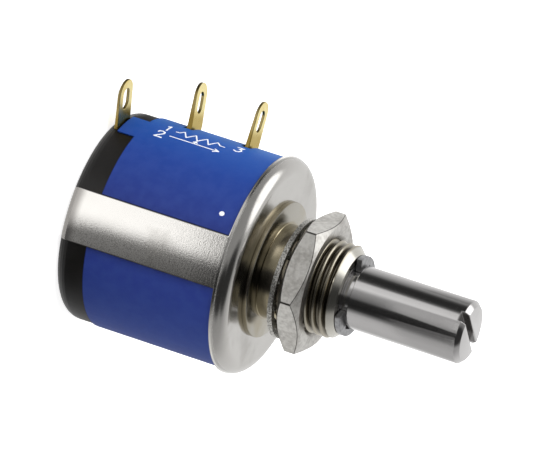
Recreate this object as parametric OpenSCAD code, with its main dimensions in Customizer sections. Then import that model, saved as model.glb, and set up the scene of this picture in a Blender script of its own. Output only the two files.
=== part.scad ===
// Panel-mount multi-turn potentiometer, 22 mm body with a 6.35 mm shaft.
// The origin is on the shaft axis at the mounting face, with +Z towards the shaft end.
// The visible strap lies at -Y and the two side solder lugs at -X.

/* [Case] */
// Outside diameter of the drawn metal case
case_dia = 22.22; // [20.6:0.02:25]
// Sheet thickness of the case
shell_t = 0.49; // [0.35:0.01:0.6]
// Length from the mounting face to the rear face
body_len = 19.05; // [18.6:0.05:24]
// Length of the case skirt behind the lid
skirt_len = 1.54; // [1.2:0.02:3]
// Outside radius where the lid turns into the skirt
lid_round = 1.45; // [0.8:0.05:1.5]
// Width of each strap round the case, in degrees
strap_angle = 27.4; // [15:0.2:40]
// Length of each strap end folded over the rear face
tab_len = 2.9; // [1.5:0.1:3.2]
// Inside radius of the strap's fold
fold_round = 0.35; // [0.2:0.05:0.6]

/* [Moulded body] */
// Wall of the moulded tube
housing_wall = 1; // [0.8:0.05:1.2]
// Thickness of the rear cover
cover_t = 1.31; // [1.2:0.01:2]
// Radius round the rear edge
rear_round = 1.2; // [0.6:0.05:1.2]
// Diameter of the cover's inner boss round the rear journal
boss_dia = 6; // [4:0.1:7]
// Height of that boss
boss_len = 0.85; // [0.5:0.05:1]
// Depth of the cover's locating rim inside the tube
rim_len = 0.6; // [0.3:0.05:1]
// Radial thickness of that rim
rim_t = 0.65; // [0.4:0.05:0.9]

/* [Label] */
// Thickness of the label film
label_t = 0.12; // [0.05:0.01:0.14]
// Length of the label behind the skirt
label_len = 13.8; // [10:0.1:14.8]
// Length of the label's rear tab
label_tab_len = 1.8; // [0.5:0.1:1.8]
// Width of the label's rear tab, in degrees
label_tab_angle = 18.6; // [10:0.2:24]
// Width of the lower label panel, in degrees
label_side_angle = 100; // [60:1:130]
// Gap between a label and the edge of the strap, in degrees
label_gap = 0.5; // [0.3:0.1:2]

/* [Bushing] */
// Major diameter of the threaded bushing
bushing_dia = 9.525; // [9.1:0.005:9.8]
// Length from the mounting face to the bushing end
bushing_len = 7.94; // [6.9:0.02:9.5]
// Chamfer at the bushing end
bushing_chamfer = 0.5; // [0.3:0.05:0.8]
// Diameter of the round mounting flange
flange_dia = 13.8; // [12:0.1:15]
// Height of the mounting flange above the lid
flange_t = 0.5; // [0.3:0.05:0.8]
// Diameter of the neck through the lid
neck_dia = 10.4; // [10:0.1:11]
// Diameter of the staked rim behind the lid
stake_dia = 12; // [11.4:0.1:14]
// Height of the staked rim
stake_t = 0.5; // [0.3:0.05:0.7]

/* [Shaft] */
// Diameter of the shaft
shaft_dia = 6.35; // [5.8:0.01:6.6]
// Length from the mounting face to the shaft end
shaft_len = 20.64; // [12:0.02:40]
// Chamfer at the shaft end
shaft_chamfer = 0.45; // [0.2:0.05:0.7]
// Width of the screwdriver slot
slot_w = 1; // [0.6:0.05:1.6]
// Depth of the screwdriver slot
slot_depth = 0.8; // [0.4:0.05:2]
// Direction of the slot about the axis, in degrees
slot_dir = 60.5; // [0:0.5:180]
// Diameter of the thrust collar inside the case
collar_dia = 9.2; // [7.4:0.1:10]
// Thickness of the thrust collar
collar_t = 0.8; // [0.5:0.05:0.9]
// Diameter of the stepped-down core that carries the drum
core_dia = 4; // [3:0.1:4.4]
// Diameter of the rear journal
journal_dia = 2.4; // [1.6:0.1:2.6]
// Length of the rear journal
journal_len = 1.9; // [1.6:0.05:2.1]
// Thickness of the thrust washer
thrust_t = 0.2; // [0.1:0.05:0.3]

/* [Retaining ring] */
// Outside diameter of the ring
ring_dia = 8.1; // [7.6:0.1:8.6]
// Thickness of the ring
ring_t = 0.6; // [0.4:0.02:0.75]
// Diameter of the groove in the shaft
groove_dia = 5.33; // [4.8:0.01:5.5]
// Width of the groove in the shaft
groove_w = 0.86; // [0.84:0.02:1]
// Half of the ring's opening, in degrees
ring_open = 48.5; // [40:0.5:60]
// Width of each of the three prongs, in degrees
prong_angle = 41; // [20:1:46]

/* [Nut and washer] */
// Radial width of the nut, from the bushing to its flats
nut_wall = 1.5875; // [1.2:0.0125:2.4]
// Thickness of the nut
nut_t = 2.38; // [2:0.02:2.6]
// Height of the nut's rear face above the mounting face
nut_z = 2.85; // [2.75:0.05:3]
// Radial width of the lock washer, from the bushing to its outside
washer_wall = 1.3; // [1.2:0.05:2.4]
// Thickness of the lock washer
washer_t = 0.5; // [0.4:0.02:0.6]
// Height of the lock washer above the mounting face
washer_z = 1.84; // [1.8:0.02:1.9]
// Share of the washer's width that is its solid rim
washer_rim = 0.46; // [0.3:0.02:0.6]
// Number of the washer's inner teeth
teeth = 12; // [8:1:16]
// Twist of each tooth out of the washer's plane, in degrees
tooth_twist = 16; // [8:1:18]

/* [Solder lugs] */
// Width of a lug
lug_w = 2.8; // [2:0.1:3.2]
// Thickness of a lug
lug_t = 0.5; // [0.3:0.02:0.6]
// Distance from the axis to a lug's tip
lug_reach = 15.3; // [14:0.1:18]
// Width of a lug's wire hole
lug_hole_w = 1.2; // [0.8:0.1:1.4]
// Length of a lug's wire hole
lug_hole_len = 2.2; // [1.4:0.1:2.6]
// Distance from the middle of the hole to the tip
lug_hole_in = 2; // [1.8:0.1:2.2]
// Depth of the front side lug below the mounting face
lug_3_depth = 6.14; // [6:0.02:6.4]
// Depth of the rear side lug below the mounting face
lug_1_depth = 12.44; // [12.2:0.02:12.6]
// Lean of the rear side lug towards the rear, in degrees
lug_1_lean = 6; // [0:0.5:8]
// Direction of the wiper's lug about the axis, in degrees
lug_2_dir = 207; // [200:0.5:212]

/* [Element and wiper] */
// Number of turns of the resistance element
turns = 5; // [3:1:5]
// Gap between the element and the bore of the tube, filled by its end channels
coil_gap = 0.25; // [0.2:0.01:0.4]
// Diameter of the wound mandrel
coil_dia = 0.9; // [0.6:0.02:0.94]
// Length of the sliding carriage
carriage_len = 3; // [2:0.1:3.4]
// Width of the sliding carriage
carriage_w = 3.1; // [2.4:0.1:3.4]
// Gap between the carriage's outer face and the element
carriage_gap = 0.95; // [0.85:0.02:1.2]
// Gap between the drum's two flanges and the element
drum_gap = 0.85; // [0.6:0.05:1.2]
// Thickness of each drum flange
drum_flange_t = 1; // [0.6:0.05:1.1]
// Distance from the drum's hub to the middle of the contact rail
hub_gap = 1.6; // [1.5:0.05:2]
// Thickness of the two guide walls on the drum
guide_t = 0.8; // [0.5:0.05:1.2]
// Diameter of the contact rail
rail_dia = 0.9; // [0.6:0.05:1.1]
// Distance from the middle of the contact rail to the carriage's outer face
rail_in = 1.5; // [1.2:0.05:1.6]
// Radial width of the slip ring
slip_w = 2; // [1.4:0.1:2.2]
// Thickness of the slip ring
slip_t = 0.25; // [0.15:0.01:0.4]
// Thickness of the contact springs
spring_t = 0.2; // [0.1:0.01:0.25]

/* [Fits] */
// Radial clearance of the shaft in the bushing
shaft_fit = 0.03; // [0.02:0.01:0.06]
// Radial clearance of the nut on the bushing
nut_fit = 0.04; // [0.02:0.01:0.08]
// Radial clearance of the washer's teeth on the bushing
washer_fit = 0.25; // [0.1:0.05:0.3]
// Clearance between pieces that are fixed to each other
seat_fit = 0.02; // [0.01:0.01:0.04]
// Clearance between pieces that slide inside the case
slide_fit = 0.15; // [0.1:0.01:0.2]

/* [Hidden] */

$fn = 72;
over = 1;
strap_dir = 270;
lug_dir = 180;
label_dir = 178;
ring_dir = 255.5;
nut_turn = 47.8;

case_r = case_dia / 2;
body_r = case_r - shell_t - seat_fit;
bore_r = body_r - housing_wall;
lid_z = -flange_t;
lid_in_z = lid_z - shell_t;
skirt_z = lid_z - skirt_len;
rear_z = -body_len;
cover_z = rear_z + cover_t;
tab_gap = 0.3;

shaft_r = shaft_dia / 2;
bushing_r = bushing_dia / 2;
shaft_bore_r = shaft_r + shaft_fit;
stake_z = lid_in_z - stake_t;
thrust_z = stake_z - seat_fit - thrust_t;
collar_z = thrust_z - seat_fit;
core_z = collar_z - collar_t;
core_r = core_dia / 2;
journal_z = cover_z + boss_len + 0.5;
ring_gap = 0.08;
ring_z = bushing_len + ring_gap;

lug_1_z = -lug_1_depth;
lug_3_z = -lug_3_depth;
travel = lug_3_z - lug_1_z;
pitch = travel / turns;
mid_z = (lug_1_z + lug_3_z) / 2;
coil_r = bore_r - coil_gap - coil_dia / 2;
coil_over = 4;
coil_in_r = coil_r - coil_dia / 2;
carriage_out = coil_in_r - carriage_gap;
drum_r = coil_in_r - drum_gap;
rail_r = carriage_out - rail_in;
hub_r = rail_r - hub_gap;
nut_r = bushing_r + nut_wall;
washer_r = bushing_r + washer_wall;
washer_drop = washer_fit - 2 * seat_fit;

stop_gap = 0.12;
drum_half = travel / 2 + carriage_len / 2 + stop_gap;
drum_front_z = mid_z + drum_half;
drum_rear_z = mid_z - drum_half;
slip_z = drum_rear_z - drum_flange_t;
tip_gap = 0.15;

// Points of an arc about [x, y] from angle a to angle b
function arc(x, y, r, a, b, steps = 6) =
    [for (i = [0:steps]) [x + r * cos(a + (b - a) * i / steps), y + r * sin(a + (b - a) * i / steps)]];

// Ring of rectangular section from r_in to r_out, between z_low and z_high, over part of a turn
module sector(r_in, r_out, z_low, z_high, start, angle) {
    rotate([0, 0, start])
        rotate_extrude(angle = angle)
            translate([r_in, z_low])
                square([r_out - r_in, z_high - z_low]);
}

module washer_ring(r_in, r_out, z_low, z_high) {
    translate([0, 0, z_low])
        difference() {
            cylinder(r = r_out, h = z_high - z_low);
            translate([0, 0, -over])
                cylinder(r = r_in, h = z_high - z_low + 2 * over);
        }
}

// Drawn cup whose skirt runs on as two straps folded over the rear face
module case_lid() {
    wall_in = case_r - shell_t;
    fold_out = fold_round + shell_t;
    tab_z = rear_z + tab_gap;
    window = 180 - strap_angle;
    color("silver")
        difference() {
            rotate_extrude()
                polygon(concat(
                    [[neck_dia / 2 + seat_fit, lid_in_z], [neck_dia / 2 + seat_fit, lid_z]],
                    arc(case_r - lid_round, lid_z - lid_round, lid_round, 90, 0),
                    arc(case_r - fold_out, tab_z + fold_out, fold_out, 0, -90),
                    [[case_r - fold_out - tab_len, tab_z], [case_r - fold_out - tab_len, tab_z + shell_t]],
                    arc(case_r - fold_out, tab_z + fold_out, fold_round, -90, 0),
                    arc(case_r - lid_round, lid_z - lid_round, lid_round - shell_t, 0, 90)
                ));
            for (side = [0, 180])
                sector(case_r - fold_out - tab_len - over, case_r + over, rear_z - over, skirt_z,
                    strap_dir + strap_angle / 2 + side, window);
        }
}

// Turned bushing, staked through the lid, with the flange that meets the panel
module bushing() {
    edge = 0.12;
    flange_r = flange_dia / 2;
    color("gainsboro")
        difference() {
            rotate_extrude()
                polygon([
                    [0, stake_z], [stake_dia / 2, stake_z], [stake_dia / 2, lid_in_z],
                    [neck_dia / 2, lid_in_z], [neck_dia / 2, lid_z], [flange_r, lid_z],
                    [flange_r, -edge], [flange_r - edge, 0], [bushing_r, 0],
                    [bushing_r, bushing_len - bushing_chamfer],
                    [bushing_r - bushing_chamfer, bushing_len], [0, bushing_len]
                ]);
            translate([0, 0, stake_z - over])
                cylinder(r = shaft_bore_r, h = bushing_len - stake_z + 2 * over);
        }
}

// Slot through the tube for a side lug
module lug_slot(z) {
    rotate([0, 0, lug_dir])
        translate([bore_r - over, -lug_w / 2 - seat_fit, z - lug_t / 2 - seat_fit])
            cube([housing_wall + 2 * over, lug_w + 2 * seat_fit, lug_t + 2 * seat_fit]);
}

module housing() {
    front_round = min(lid_round - shell_t + 0.1, housing_wall - seat_fit);
    color("dimgray")
        difference() {
            rotate_extrude()
                polygon(concat(
                    [[bore_r, lid_in_z], [bore_r, cover_z], [body_r, cover_z]],
                    arc(body_r - front_round, lid_in_z - front_round, front_round, 0, 90)
                ));
            lug_slot(lug_1_z);
            lug_slot(lug_3_z);
        }
}

// Rear cover with a round edge, a rim inside the tube and a journal for the shaft
module rear_cover() {
    rim_r = bore_r - seat_fit;
    boss_z = cover_z + boss_len;
    bore_depth = boss_len + cover_t - 0.4;
    tab_in = case_r - fold_round - shell_t - tab_len - seat_fit * 5;
    color("dimgray")
        difference() {
            rotate_extrude()
                polygon(concat(
                    [[0, rear_z]],
                    arc(body_r - rear_round, rear_z + rear_round, rear_round, -90, 0),
                    [[body_r, cover_z], [rim_r, cover_z], [rim_r, cover_z + rim_len],
                    [rim_r - rim_t, cover_z + rim_len], [rim_r - rim_t, cover_z],
                    [boss_dia / 2, cover_z], [boss_dia / 2, boss_z], [0, boss_z]]
                ));
            translate([0, 0, boss_z - bore_depth])
                cylinder(r = journal_dia / 2 + shaft_fit, h = bore_depth + over);
            rotate([0, 0, lug_2_dir])
                translate([boss_dia / 2 + lug_w / 2, -lug_w / 2 - seat_fit, cover_z - lug_t - seat_fit])
                    cube([case_r, lug_w + 2 * seat_fit, lug_t + rim_len + over]);
            for (side = [0, 180])
                sector(tab_in, case_r + over, rear_z - over, rear_z + tab_gap + shell_t + 4 * seat_fit,
                    strap_dir - strap_angle / 2 - 0.3 + side, strap_angle + 0.6);
        }
}

// Upper label panel, from the side lugs to the strap, with a tab towards the rear lug
module label_main() {
    in_r = body_r + seat_fit / 2;
    out_r = in_r + label_t;
    span = strap_dir - strap_angle / 2 - label_gap - label_dir;
    low = skirt_z - label_len;
    tab_low = low - label_tab_len;
    tab_start = lug_2_dir - label_tab_angle / 2;
    notch = 0.3;
    color("royalblue")
        difference() {
            sector(in_r, out_r, tab_low, skirt_z, label_dir, span);
            sector(in_r - over, out_r + over, tab_low - over, low, label_dir - 5, tab_start - label_dir + 5);
            sector(in_r - over, out_r + over, tab_low - over, low, tab_start + label_tab_angle, span);
            for (z = [lug_1_z, lug_3_z])
                rotate([0, 0, lug_dir])
                    translate([0, -lug_w / 2 - notch, z - lug_t / 2 - notch])
                        cube([case_r + over, lug_w + 2 * notch, lug_t + 2 * notch]);
        }
}

// Lower label panel, on the other side of the strap
module label_side() {
    in_r = body_r + seat_fit / 2;
    color("royalblue")
        sector(in_r, in_r + label_t, skirt_z - label_len, skirt_z,
            strap_dir + strap_angle / 2 + label_gap, label_side_angle);
}

// Flat lug along +X with a round end and an oblong wire hole, from start to the tip
module lug_plate(start, tip) {
    end_r = lug_w / 2;
    hole_mid = tip - lug_hole_in;
    hole_half = (lug_hole_len - lug_hole_w) / 2;
    translate([0, 0, -lug_t / 2])
        linear_extrude(lug_t)
            difference() {
                union() {
                    translate([start, -lug_w / 2])
                        square([tip - end_r - start, lug_w]);
                    translate([tip - end_r, 0])
                        circle(r = end_r);
                }
                translate([hole_mid - hole_half, -lug_hole_w / 2])
                    square([2 * hole_half, lug_hole_w]);
                for (end = [-hole_half, hole_half])
                    translate([hole_mid + end, 0])
                        circle(d = lug_hole_w, $fn = 32);
            }
}

// Side lug: a foot through the tube wall, then the plate, which may lean
module side_lug(z, lean) {
    bend_r = body_r + label_t + 0.35;
    color("gold")
        rotate([0, 0, lug_dir])
            translate([0, 0, z]) {
                translate([bore_r + seat_fit, -lug_w / 2, -lug_t / 2])
                    cube([bend_r - bore_r - seat_fit, lug_w, lug_t]);
                translate([bend_r, 0, 0])
                    rotate([0, lean, 0])
                        lug_plate(-lug_t / 4, lug_reach - bend_r);
            }
}

module terminal_1() {
    side_lug(lug_1_z, lug_1_lean);
}

module terminal_3() {
    side_lug(lug_3_z, 0);
}

// Rear lug, clamped between the tube and the cover
module terminal_2() {
    color("gold")
        rotate([0, 0, lug_2_dir])
            translate([0, 0, cover_z - lug_t / 2])
                lug_plate(boss_dia / 2 + lug_w / 2 + seat_fit, lug_reach);
}

// Channel over the outer half of the element's end, behind a side lug
module end_clip(z) {
    clip_w = 1.6;
    clip_h = coil_dia + 0.26;
    color("khaki")
        rotate([0, 0, lug_dir])
            difference() {
                intersection() {
                    translate([coil_r - 0.1, -clip_w / 2, z - clip_h / 2])
                        cube([housing_wall + coil_dia, clip_w, clip_h]);
                    translate([0, 0, z - clip_h])
                        cylinder(r = bore_r, h = 2 * clip_h, $fn = 288);
                }
                translate([coil_r, clip_w, z])
                    rotate([90, 0, 0])
                        cylinder(r = coil_dia / 2 + seat_fit, h = 2 * clip_w);
            }
}

module end_clip_1() {
    end_clip(lug_1_z);
}

module end_clip_3() {
    end_clip(lug_3_z);
}

// Left-hand helix, so a clockwise turn of the shaft brings the wiper to the front lug
module resistance_element() {
    per_turn = 30;
    sides = 8;
    steps = turns * per_turn;
    sweep = 360 * turns + 2 * coil_over;
    wire = coil_dia / 2;
    points = [
        for (i = [0:steps], j = [0:sides - 1])
            let (
                angle = sweep * i / steps - coil_over,
                around = 360 * j / sides,
                r = coil_r + wire * cos(around),
                z = lug_3_z - pitch * angle / 360 + wire * sin(around)
            )
            [r * cos(lug_dir + angle), r * sin(lug_dir + angle), z]
    ];
    walls = [
        for (i = [0:steps - 1], j = [0:sides - 1])
            let (a = i * sides + j, b = i * sides + (j + 1) % sides)
            [a, b, b + sides, a + sides]
    ];
    start_cap = [for (j = [sides - 1:-1:0]) j];
    end_cap = [for (j = [0:sides - 1]) steps * sides + j];
    color("peru")
        polyhedron(points, concat(walls, [start_cap, end_cap]));
}

// Spring on the rear lug that bears on the slip ring
module takeoff_brush() {
    brush_w = 1.6;
    foot_z = cover_z + seat_fit / 2;
    top_z = slip_z - slip_t - 0.04;
    foot_out = bore_r - rim_t - 0.5;
    foot_in = foot_out - 1.2;
    ride = rail_r - 0.2;
    color("khaki")
        rotate([0, 0, lug_2_dir])
            translate([0, brush_w / 2, 0])
                rotate([90, 0, 0])
                    linear_extrude(brush_w)
                        polygon([
                            [foot_out, foot_z], [foot_out, foot_z + spring_t], [foot_in, foot_z + spring_t],
                            [ride + 0.3, top_z - 0.12], [ride, top_z], [ride - 0.4, top_z - 0.3],
                            [ride - 0.2, top_z - 0.45], [ride + 0.1, top_z - 0.3], [foot_in - 0.15, foot_z]
                        ]);
}

module thrust_washer() {
    color("tan")
        washer_ring(shaft_r + 0.08, collar_dia / 2, thrust_z, thrust_z + thrust_t);
}

// Shaft with a screwdriver slot, a ring groove, a thrust collar, a core and a rear journal
module shaft() {
    groove_z = ring_z - seat_fit;
    color("gainsboro")
        difference() {
            rotate_extrude()
                polygon([
                    [0, journal_z - journal_len], [journal_dia / 2, journal_z - journal_len],
                    [journal_dia / 2, journal_z], [core_r, journal_z], [core_r, core_z],
                    [collar_dia / 2, core_z], [collar_dia / 2, collar_z], [shaft_r, collar_z],
                    [shaft_r, groove_z], [groove_dia / 2, groove_z],
                    [groove_dia / 2, groove_z + groove_w], [shaft_r, groove_z + groove_w],
                    [shaft_r, shaft_len - shaft_chamfer],
                    [shaft_r - shaft_chamfer, shaft_len], [0, shaft_len]
                ]);
            rotate([0, 0, slot_dir])
                translate([-shaft_r - over, -slot_w / 2, shaft_len - slot_depth])
                    cube([shaft_dia + 2 * over, slot_w, slot_depth + over]);
        }
}

// Open retaining ring whose three prongs reach into the shaft's groove
module retaining_ring() {
    relief_r = shaft_r + 0.12;
    prong_r = groove_dia / 2 + seat_fit;
    between = (360 - 2 * ring_open - 3 * prong_angle) / 2;
    first = ring_dir + ring_open + prong_angle;
    second = ring_dir - ring_open - prong_angle - between;
    reach = ring_dia;
    color("darkgray")
        difference() {
            washer_ring(prong_r, ring_dia / 2, ring_z, ring_z + ring_t);
            for (start = [first, second])
                sector(0, relief_r, ring_z - over, ring_z + ring_t + over, start, between);
            translate([0, 0, ring_z - over])
                rotate([0, 0, ring_dir])
                    linear_extrude(ring_t + 2 * over)
                        polygon([
                            [0, 0], [reach * cos(ring_open), -reach * sin(ring_open)], [2 * reach, 0],
                            [reach * cos(ring_open), reach * sin(ring_open)]
                        ]);
        }
}

// Moulded drum with two flanges and two guide walls for the carriage
module rotor_drum() {
    neck_r = (hub_r + core_r) / 2 + 0.4;
    wall_y = carriage_w / 2 + slide_fit;
    wall_out = carriage_out - 0.1;
    color("ivory")
        difference() {
            union() {
                rotate_extrude()
                    polygon([
                        [0, slip_z], [drum_r, slip_z], [drum_r, drum_rear_z],
                        [hub_r, drum_rear_z], [hub_r, drum_front_z], [drum_r, drum_front_z],
                        [drum_r, drum_front_z + drum_flange_t], [neck_r, drum_front_z + drum_flange_t],
                        [neck_r, core_z - seat_fit], [0, core_z - seat_fit]
                    ]);
                for (side = [-wall_y - guide_t, wall_y])
                    translate([0, side, drum_rear_z - drum_flange_t / 2])
                        cube([wall_out, guide_t, 2 * drum_half + drum_flange_t]);
            }
            translate([0, 0, slip_z - over])
                cylinder(r = core_r + seat_fit, h = core_z - slip_z + 2 * over);
            translate([rail_r, 0, slip_z - over])
                cylinder(d = rail_dia + 2 * seat_fit, h = 2 * drum_half + 2 * drum_flange_t + over, $fn = 32);
        }
}

// Round rail that carries the wiper's current to the slip ring
module collector_rail() {
    color("goldenrod")
        translate([rail_r, 0, slip_z])
            cylinder(d = rail_dia, h = 2 * drum_half + 1.6 * drum_flange_t, $fn = 32);
}

module slip_ring() {
    color("goldenrod")
        washer_ring(rail_r - slip_w / 2, rail_r + slip_w / 2, slip_z - slip_t, slip_z);
}

// Moulded block that slides along the drum
module carriage() {
    in_r = hub_r + slide_fit;
    color("whitesmoke")
        difference() {
            translate([in_r, -carriage_w / 2, mid_z - carriage_len / 2])
                cube([carriage_out - in_r, carriage_w, carriage_len]);
            translate([rail_r, 0, mid_z - carriage_len])
                cylinder(d = rail_dia + slide_fit, h = 2 * carriage_len, $fn = 32);
        }
}

// Contact foot with a tip on the element and two prongs in the gaps beside that turn
module wiper_contact() {
    foot_w = carriage_w - 0.8;
    foot_h = carriage_len - 0.8;
    foot_z = carriage_out + seat_fit / 2;
    tip_w = 0.9;
    tip_r = coil_in_r - tip_gap;
    prong_r = coil_in_r + 0.1;
    color("khaki") {
        translate([foot_z, -foot_w / 2, mid_z - foot_h / 2])
            cube([spring_t, foot_w, foot_h]);
        translate([foot_z, -tip_w / 2, mid_z - 0.15])
            cube([tip_r - foot_z, tip_w, 0.3]);
        for (side = [-1, 1])
            translate([foot_z, -tip_w / 2, mid_z + side * pitch / 2 - spring_t / 2])
                cube([prong_r - foot_z, tip_w, spring_t]);
    }
}

// Spring plate behind the carriage that runs on the rail
module collector_contact() {
    plate_w = carriage_w - 0.7;
    plate_in = hub_r + slide_fit + 0.2;
    color("khaki")
        difference() {
            translate([plate_in, -plate_w / 2, mid_z - carriage_len / 2 - stop_gap + seat_fit])
                cube([carriage_out - plate_in - 0.2, plate_w, stop_gap - 2 * seat_fit]);
            translate([rail_r, 0, mid_z - carriage_len])
                cylinder(d = rail_dia + slide_fit, h = 2 * carriage_len, $fn = 32);
        }
}

// Lock washer with twisted inner teeth
module lock_washer() {
    rim_in = washer_r - washer_wall * washer_rim;
    tooth_in = bushing_r + washer_fit;
    tooth_w = 1.2;
    mid = washer_z + washer_t / 2;
    color("silver")
        translate([washer_drop, 0, 0]) {
            washer_ring(rim_in, washer_r, washer_z, washer_z + washer_t);
            intersection() {
                washer_ring(tooth_in, rim_in + 0.2, washer_z - washer_t, washer_z + 2 * washer_t);
                for (i = [0:teeth - 1])
                    rotate([0, 0, 360 * i / teeth])
                        translate([tooth_in - over, 0, mid])
                            rotate([tooth_twist, 0, 0])
                                translate([0, -tooth_w / 2, -washer_t / 2])
                                    cube([rim_in - tooth_in + over + 0.15, tooth_w, washer_t]);
            }
        }
}

// Hexagon nut with the corners of both faces turned down and its bore countersunk
module hex_nut() {
    corner_r = nut_r / cos(30);
    past_r = corner_r + 0.05;
    face_r = nut_r - 0.2;
    slope = tan(30);
    hole_r = bushing_r + nut_fit;
    sink = 0.35;
    color("silver")
        translate([0, 0, nut_z])
            difference() {
                intersection() {
                    rotate([0, 0, nut_turn])
                        cylinder(r = corner_r, h = nut_t, $fn = 6);
                    rotate_extrude()
                        polygon([
                            [0, 0], [face_r, 0], [past_r, (past_r - face_r) * slope],
                            [past_r, nut_t - (past_r - face_r) * slope], [face_r, nut_t], [0, nut_t]
                        ]);
                }
                translate([0, 0, -over])
                    cylinder(r = hole_r, h = nut_t + 2 * over);
                for (end = [0, 1])
                    translate([0, 0, end * nut_t])
                        mirror([0, 0, end])
                            translate([0, 0, -over])
                                cylinder(r1 = hole_r + sink + over, r2 = hole_r, h = sink + over);
            }
}

case_lid();
bushing();
housing();
rear_cover();
label_main();
label_side();
terminal_1();
terminal_2();
terminal_3();
end_clip_1();
end_clip_3();
resistance_element();
takeoff_brush();
thrust_washer();
shaft();
retaining_ring();
rotor_drum();
collector_rail();
slip_ring();
carriage();
wiper_contact();
collector_contact();
lock_washer();
hex_nut();
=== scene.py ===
import math

import bmesh
import bpy
from mathutils import Matrix, Vector


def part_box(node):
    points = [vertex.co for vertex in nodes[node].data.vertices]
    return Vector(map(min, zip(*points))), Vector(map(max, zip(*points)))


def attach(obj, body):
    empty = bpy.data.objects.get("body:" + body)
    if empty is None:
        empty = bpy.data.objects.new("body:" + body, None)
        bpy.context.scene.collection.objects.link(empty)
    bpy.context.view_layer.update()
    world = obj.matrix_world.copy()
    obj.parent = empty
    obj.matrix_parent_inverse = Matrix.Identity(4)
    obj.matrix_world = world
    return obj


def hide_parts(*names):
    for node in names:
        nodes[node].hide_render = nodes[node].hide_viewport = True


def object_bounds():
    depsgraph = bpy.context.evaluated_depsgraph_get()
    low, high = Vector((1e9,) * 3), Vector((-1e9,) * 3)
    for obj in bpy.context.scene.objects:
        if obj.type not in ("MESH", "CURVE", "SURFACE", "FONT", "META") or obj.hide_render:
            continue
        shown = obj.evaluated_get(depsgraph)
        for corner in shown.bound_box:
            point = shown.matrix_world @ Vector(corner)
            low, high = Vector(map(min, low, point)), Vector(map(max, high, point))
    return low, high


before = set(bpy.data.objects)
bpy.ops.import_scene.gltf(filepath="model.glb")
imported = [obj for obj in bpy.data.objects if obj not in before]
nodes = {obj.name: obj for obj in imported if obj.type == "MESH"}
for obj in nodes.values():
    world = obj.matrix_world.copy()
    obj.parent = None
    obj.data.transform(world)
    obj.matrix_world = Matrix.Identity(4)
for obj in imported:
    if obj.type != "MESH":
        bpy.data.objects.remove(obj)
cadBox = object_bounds()
mm = 0.001
weld = 0.0005 * mm  # points closer than this become one


def spotAt(radius, angle, height):
    # a point from its radius and height in millimetres and its angle in radians
    return Vector((radius * mm * math.cos(angle), radius * mm * math.sin(angle), height * mm))


def measured(node):
    # a CAD node's smallest and largest radius and its ends along the shaft, in millimetres
    radii = [math.hypot(vert.co.x, vert.co.y) for vert in nodes[node].data.vertices]
    low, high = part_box(node)
    found = {"inner": min(radii), "outer": max(radii), "low": low[2], "high": high[2]}
    return {key: round(float(value) / mm, 4) for key, value in found.items()}


caseSize = measured("case_lid")
labelSize = measured("label_side")
bushingSize = measured("bushing")
nutSize = measured("hex_nut")
coilSize = measured("resistance_element")


# Node trees, written as expressions

class Value:
    # wraps an output socket, so that maths on it adds Math nodes
    def __init__(self, build, socket):
        self.build, self.socket = build, socket

    def at(self, name):
        return Value(self.build, self.socket.node.outputs[name])

    def __add__(self, other):
        return self.build.maths("ADD", self, other)

    def __sub__(self, other):
        return self.build.maths("SUBTRACT", self, other)

    def __rsub__(self, other):
        return self.build.maths("SUBTRACT", other, self)

    def __mul__(self, other):
        return self.build.maths("MULTIPLY", self, other)

    def __truediv__(self, other):
        return self.build.maths("DIVIDE", self, other)

    def __gt__(self, other):
        return self.build.maths("GREATER_THAN", self, other)

    def __lt__(self, other):
        return self.build.maths("LESS_THAN", self, other)

    __radd__ = __add__
    __rmul__ = __mul__


class Build:
    # a node tree that nodes are added to
    def __init__(self, tree):
        self.tree = tree

    def put(self, target, value):
        if isinstance(value, Value):
            self.tree.links.new(value.socket, target)
        elif isinstance(value, tuple) and target.type == "RGBA" and len(value) == 3:
            target.default_value = (*value, 1)
        else:
            target.default_value = value

    def node(self, kind, settings=None, sockets=None, out=0):
        made = self.tree.nodes.new(kind)
        for key, value in (settings or {}).items():
            if key == "stops":
                self.fillRamp(made.color_ramp.elements, value)
            else:
                setattr(made, key, value)
        for key, value in (sockets or {}).items():
            self.put(made.inputs[key], value)
        return Value(self, made.outputs[out])

    def fillRamp(self, stops, wanted):
        while len(stops) > 1:
            stops.remove(stops[-1])
        for i, (place, shade) in enumerate(wanted):
            stop = stops[0] if i == 0 else stops.new(place)
            stop.position = place
            stop.color = (*shade, 1) if isinstance(shade, tuple) else (shade, shade, shade, 1)

    def close(self, kind, value):
        # ends the tree with its output node
        last = self.tree.nodes.new(kind)
        self.tree.links.new(value.socket, last.inputs[0])

    def maths(self, operation, *values):
        return self.node("ShaderNodeMath", {"operation": operation}, dict(enumerate(values)))

    def limit(self, value, low, high):
        return self.maths("MINIMUM", self.maths("MAXIMUM", value, low), high)

    def ease(self, value, low, high):
        return self.node("ShaderNodeMapRange", {"interpolation_type": "SMOOTHSTEP"},
                         {"Value": value, "From Min": low, "From Max": high})

    def ramp(self, stops, place):
        # each stop is a place from 0 to 1, with a colour or a grey
        return self.node("ShaderNodeValToRGB", {"stops": stops}, {0: place})

    def vector(self, x, y, z):
        return self.node("ShaderNodeCombineXYZ", None, {0: x, 1: y, 2: z})

    def mix(self, factor, a, b):
        return self.node("ShaderNodeMix", {"data_type": "RGBA"}, {0: factor, 6: a, 7: b}, out=2)


def emptyTree(owner):
    # the node tree of a material or a world, without its first nodes
    owner.use_nodes = True
    owner.node_tree.nodes.clear()
    return owner.node_tree


def stopsByTurn(sides, low=-180.0, high=180.0):
    # ramp stops from turns in degrees
    return [((turn - low) / (high - low), shade) for turn, shade in sides]


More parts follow.
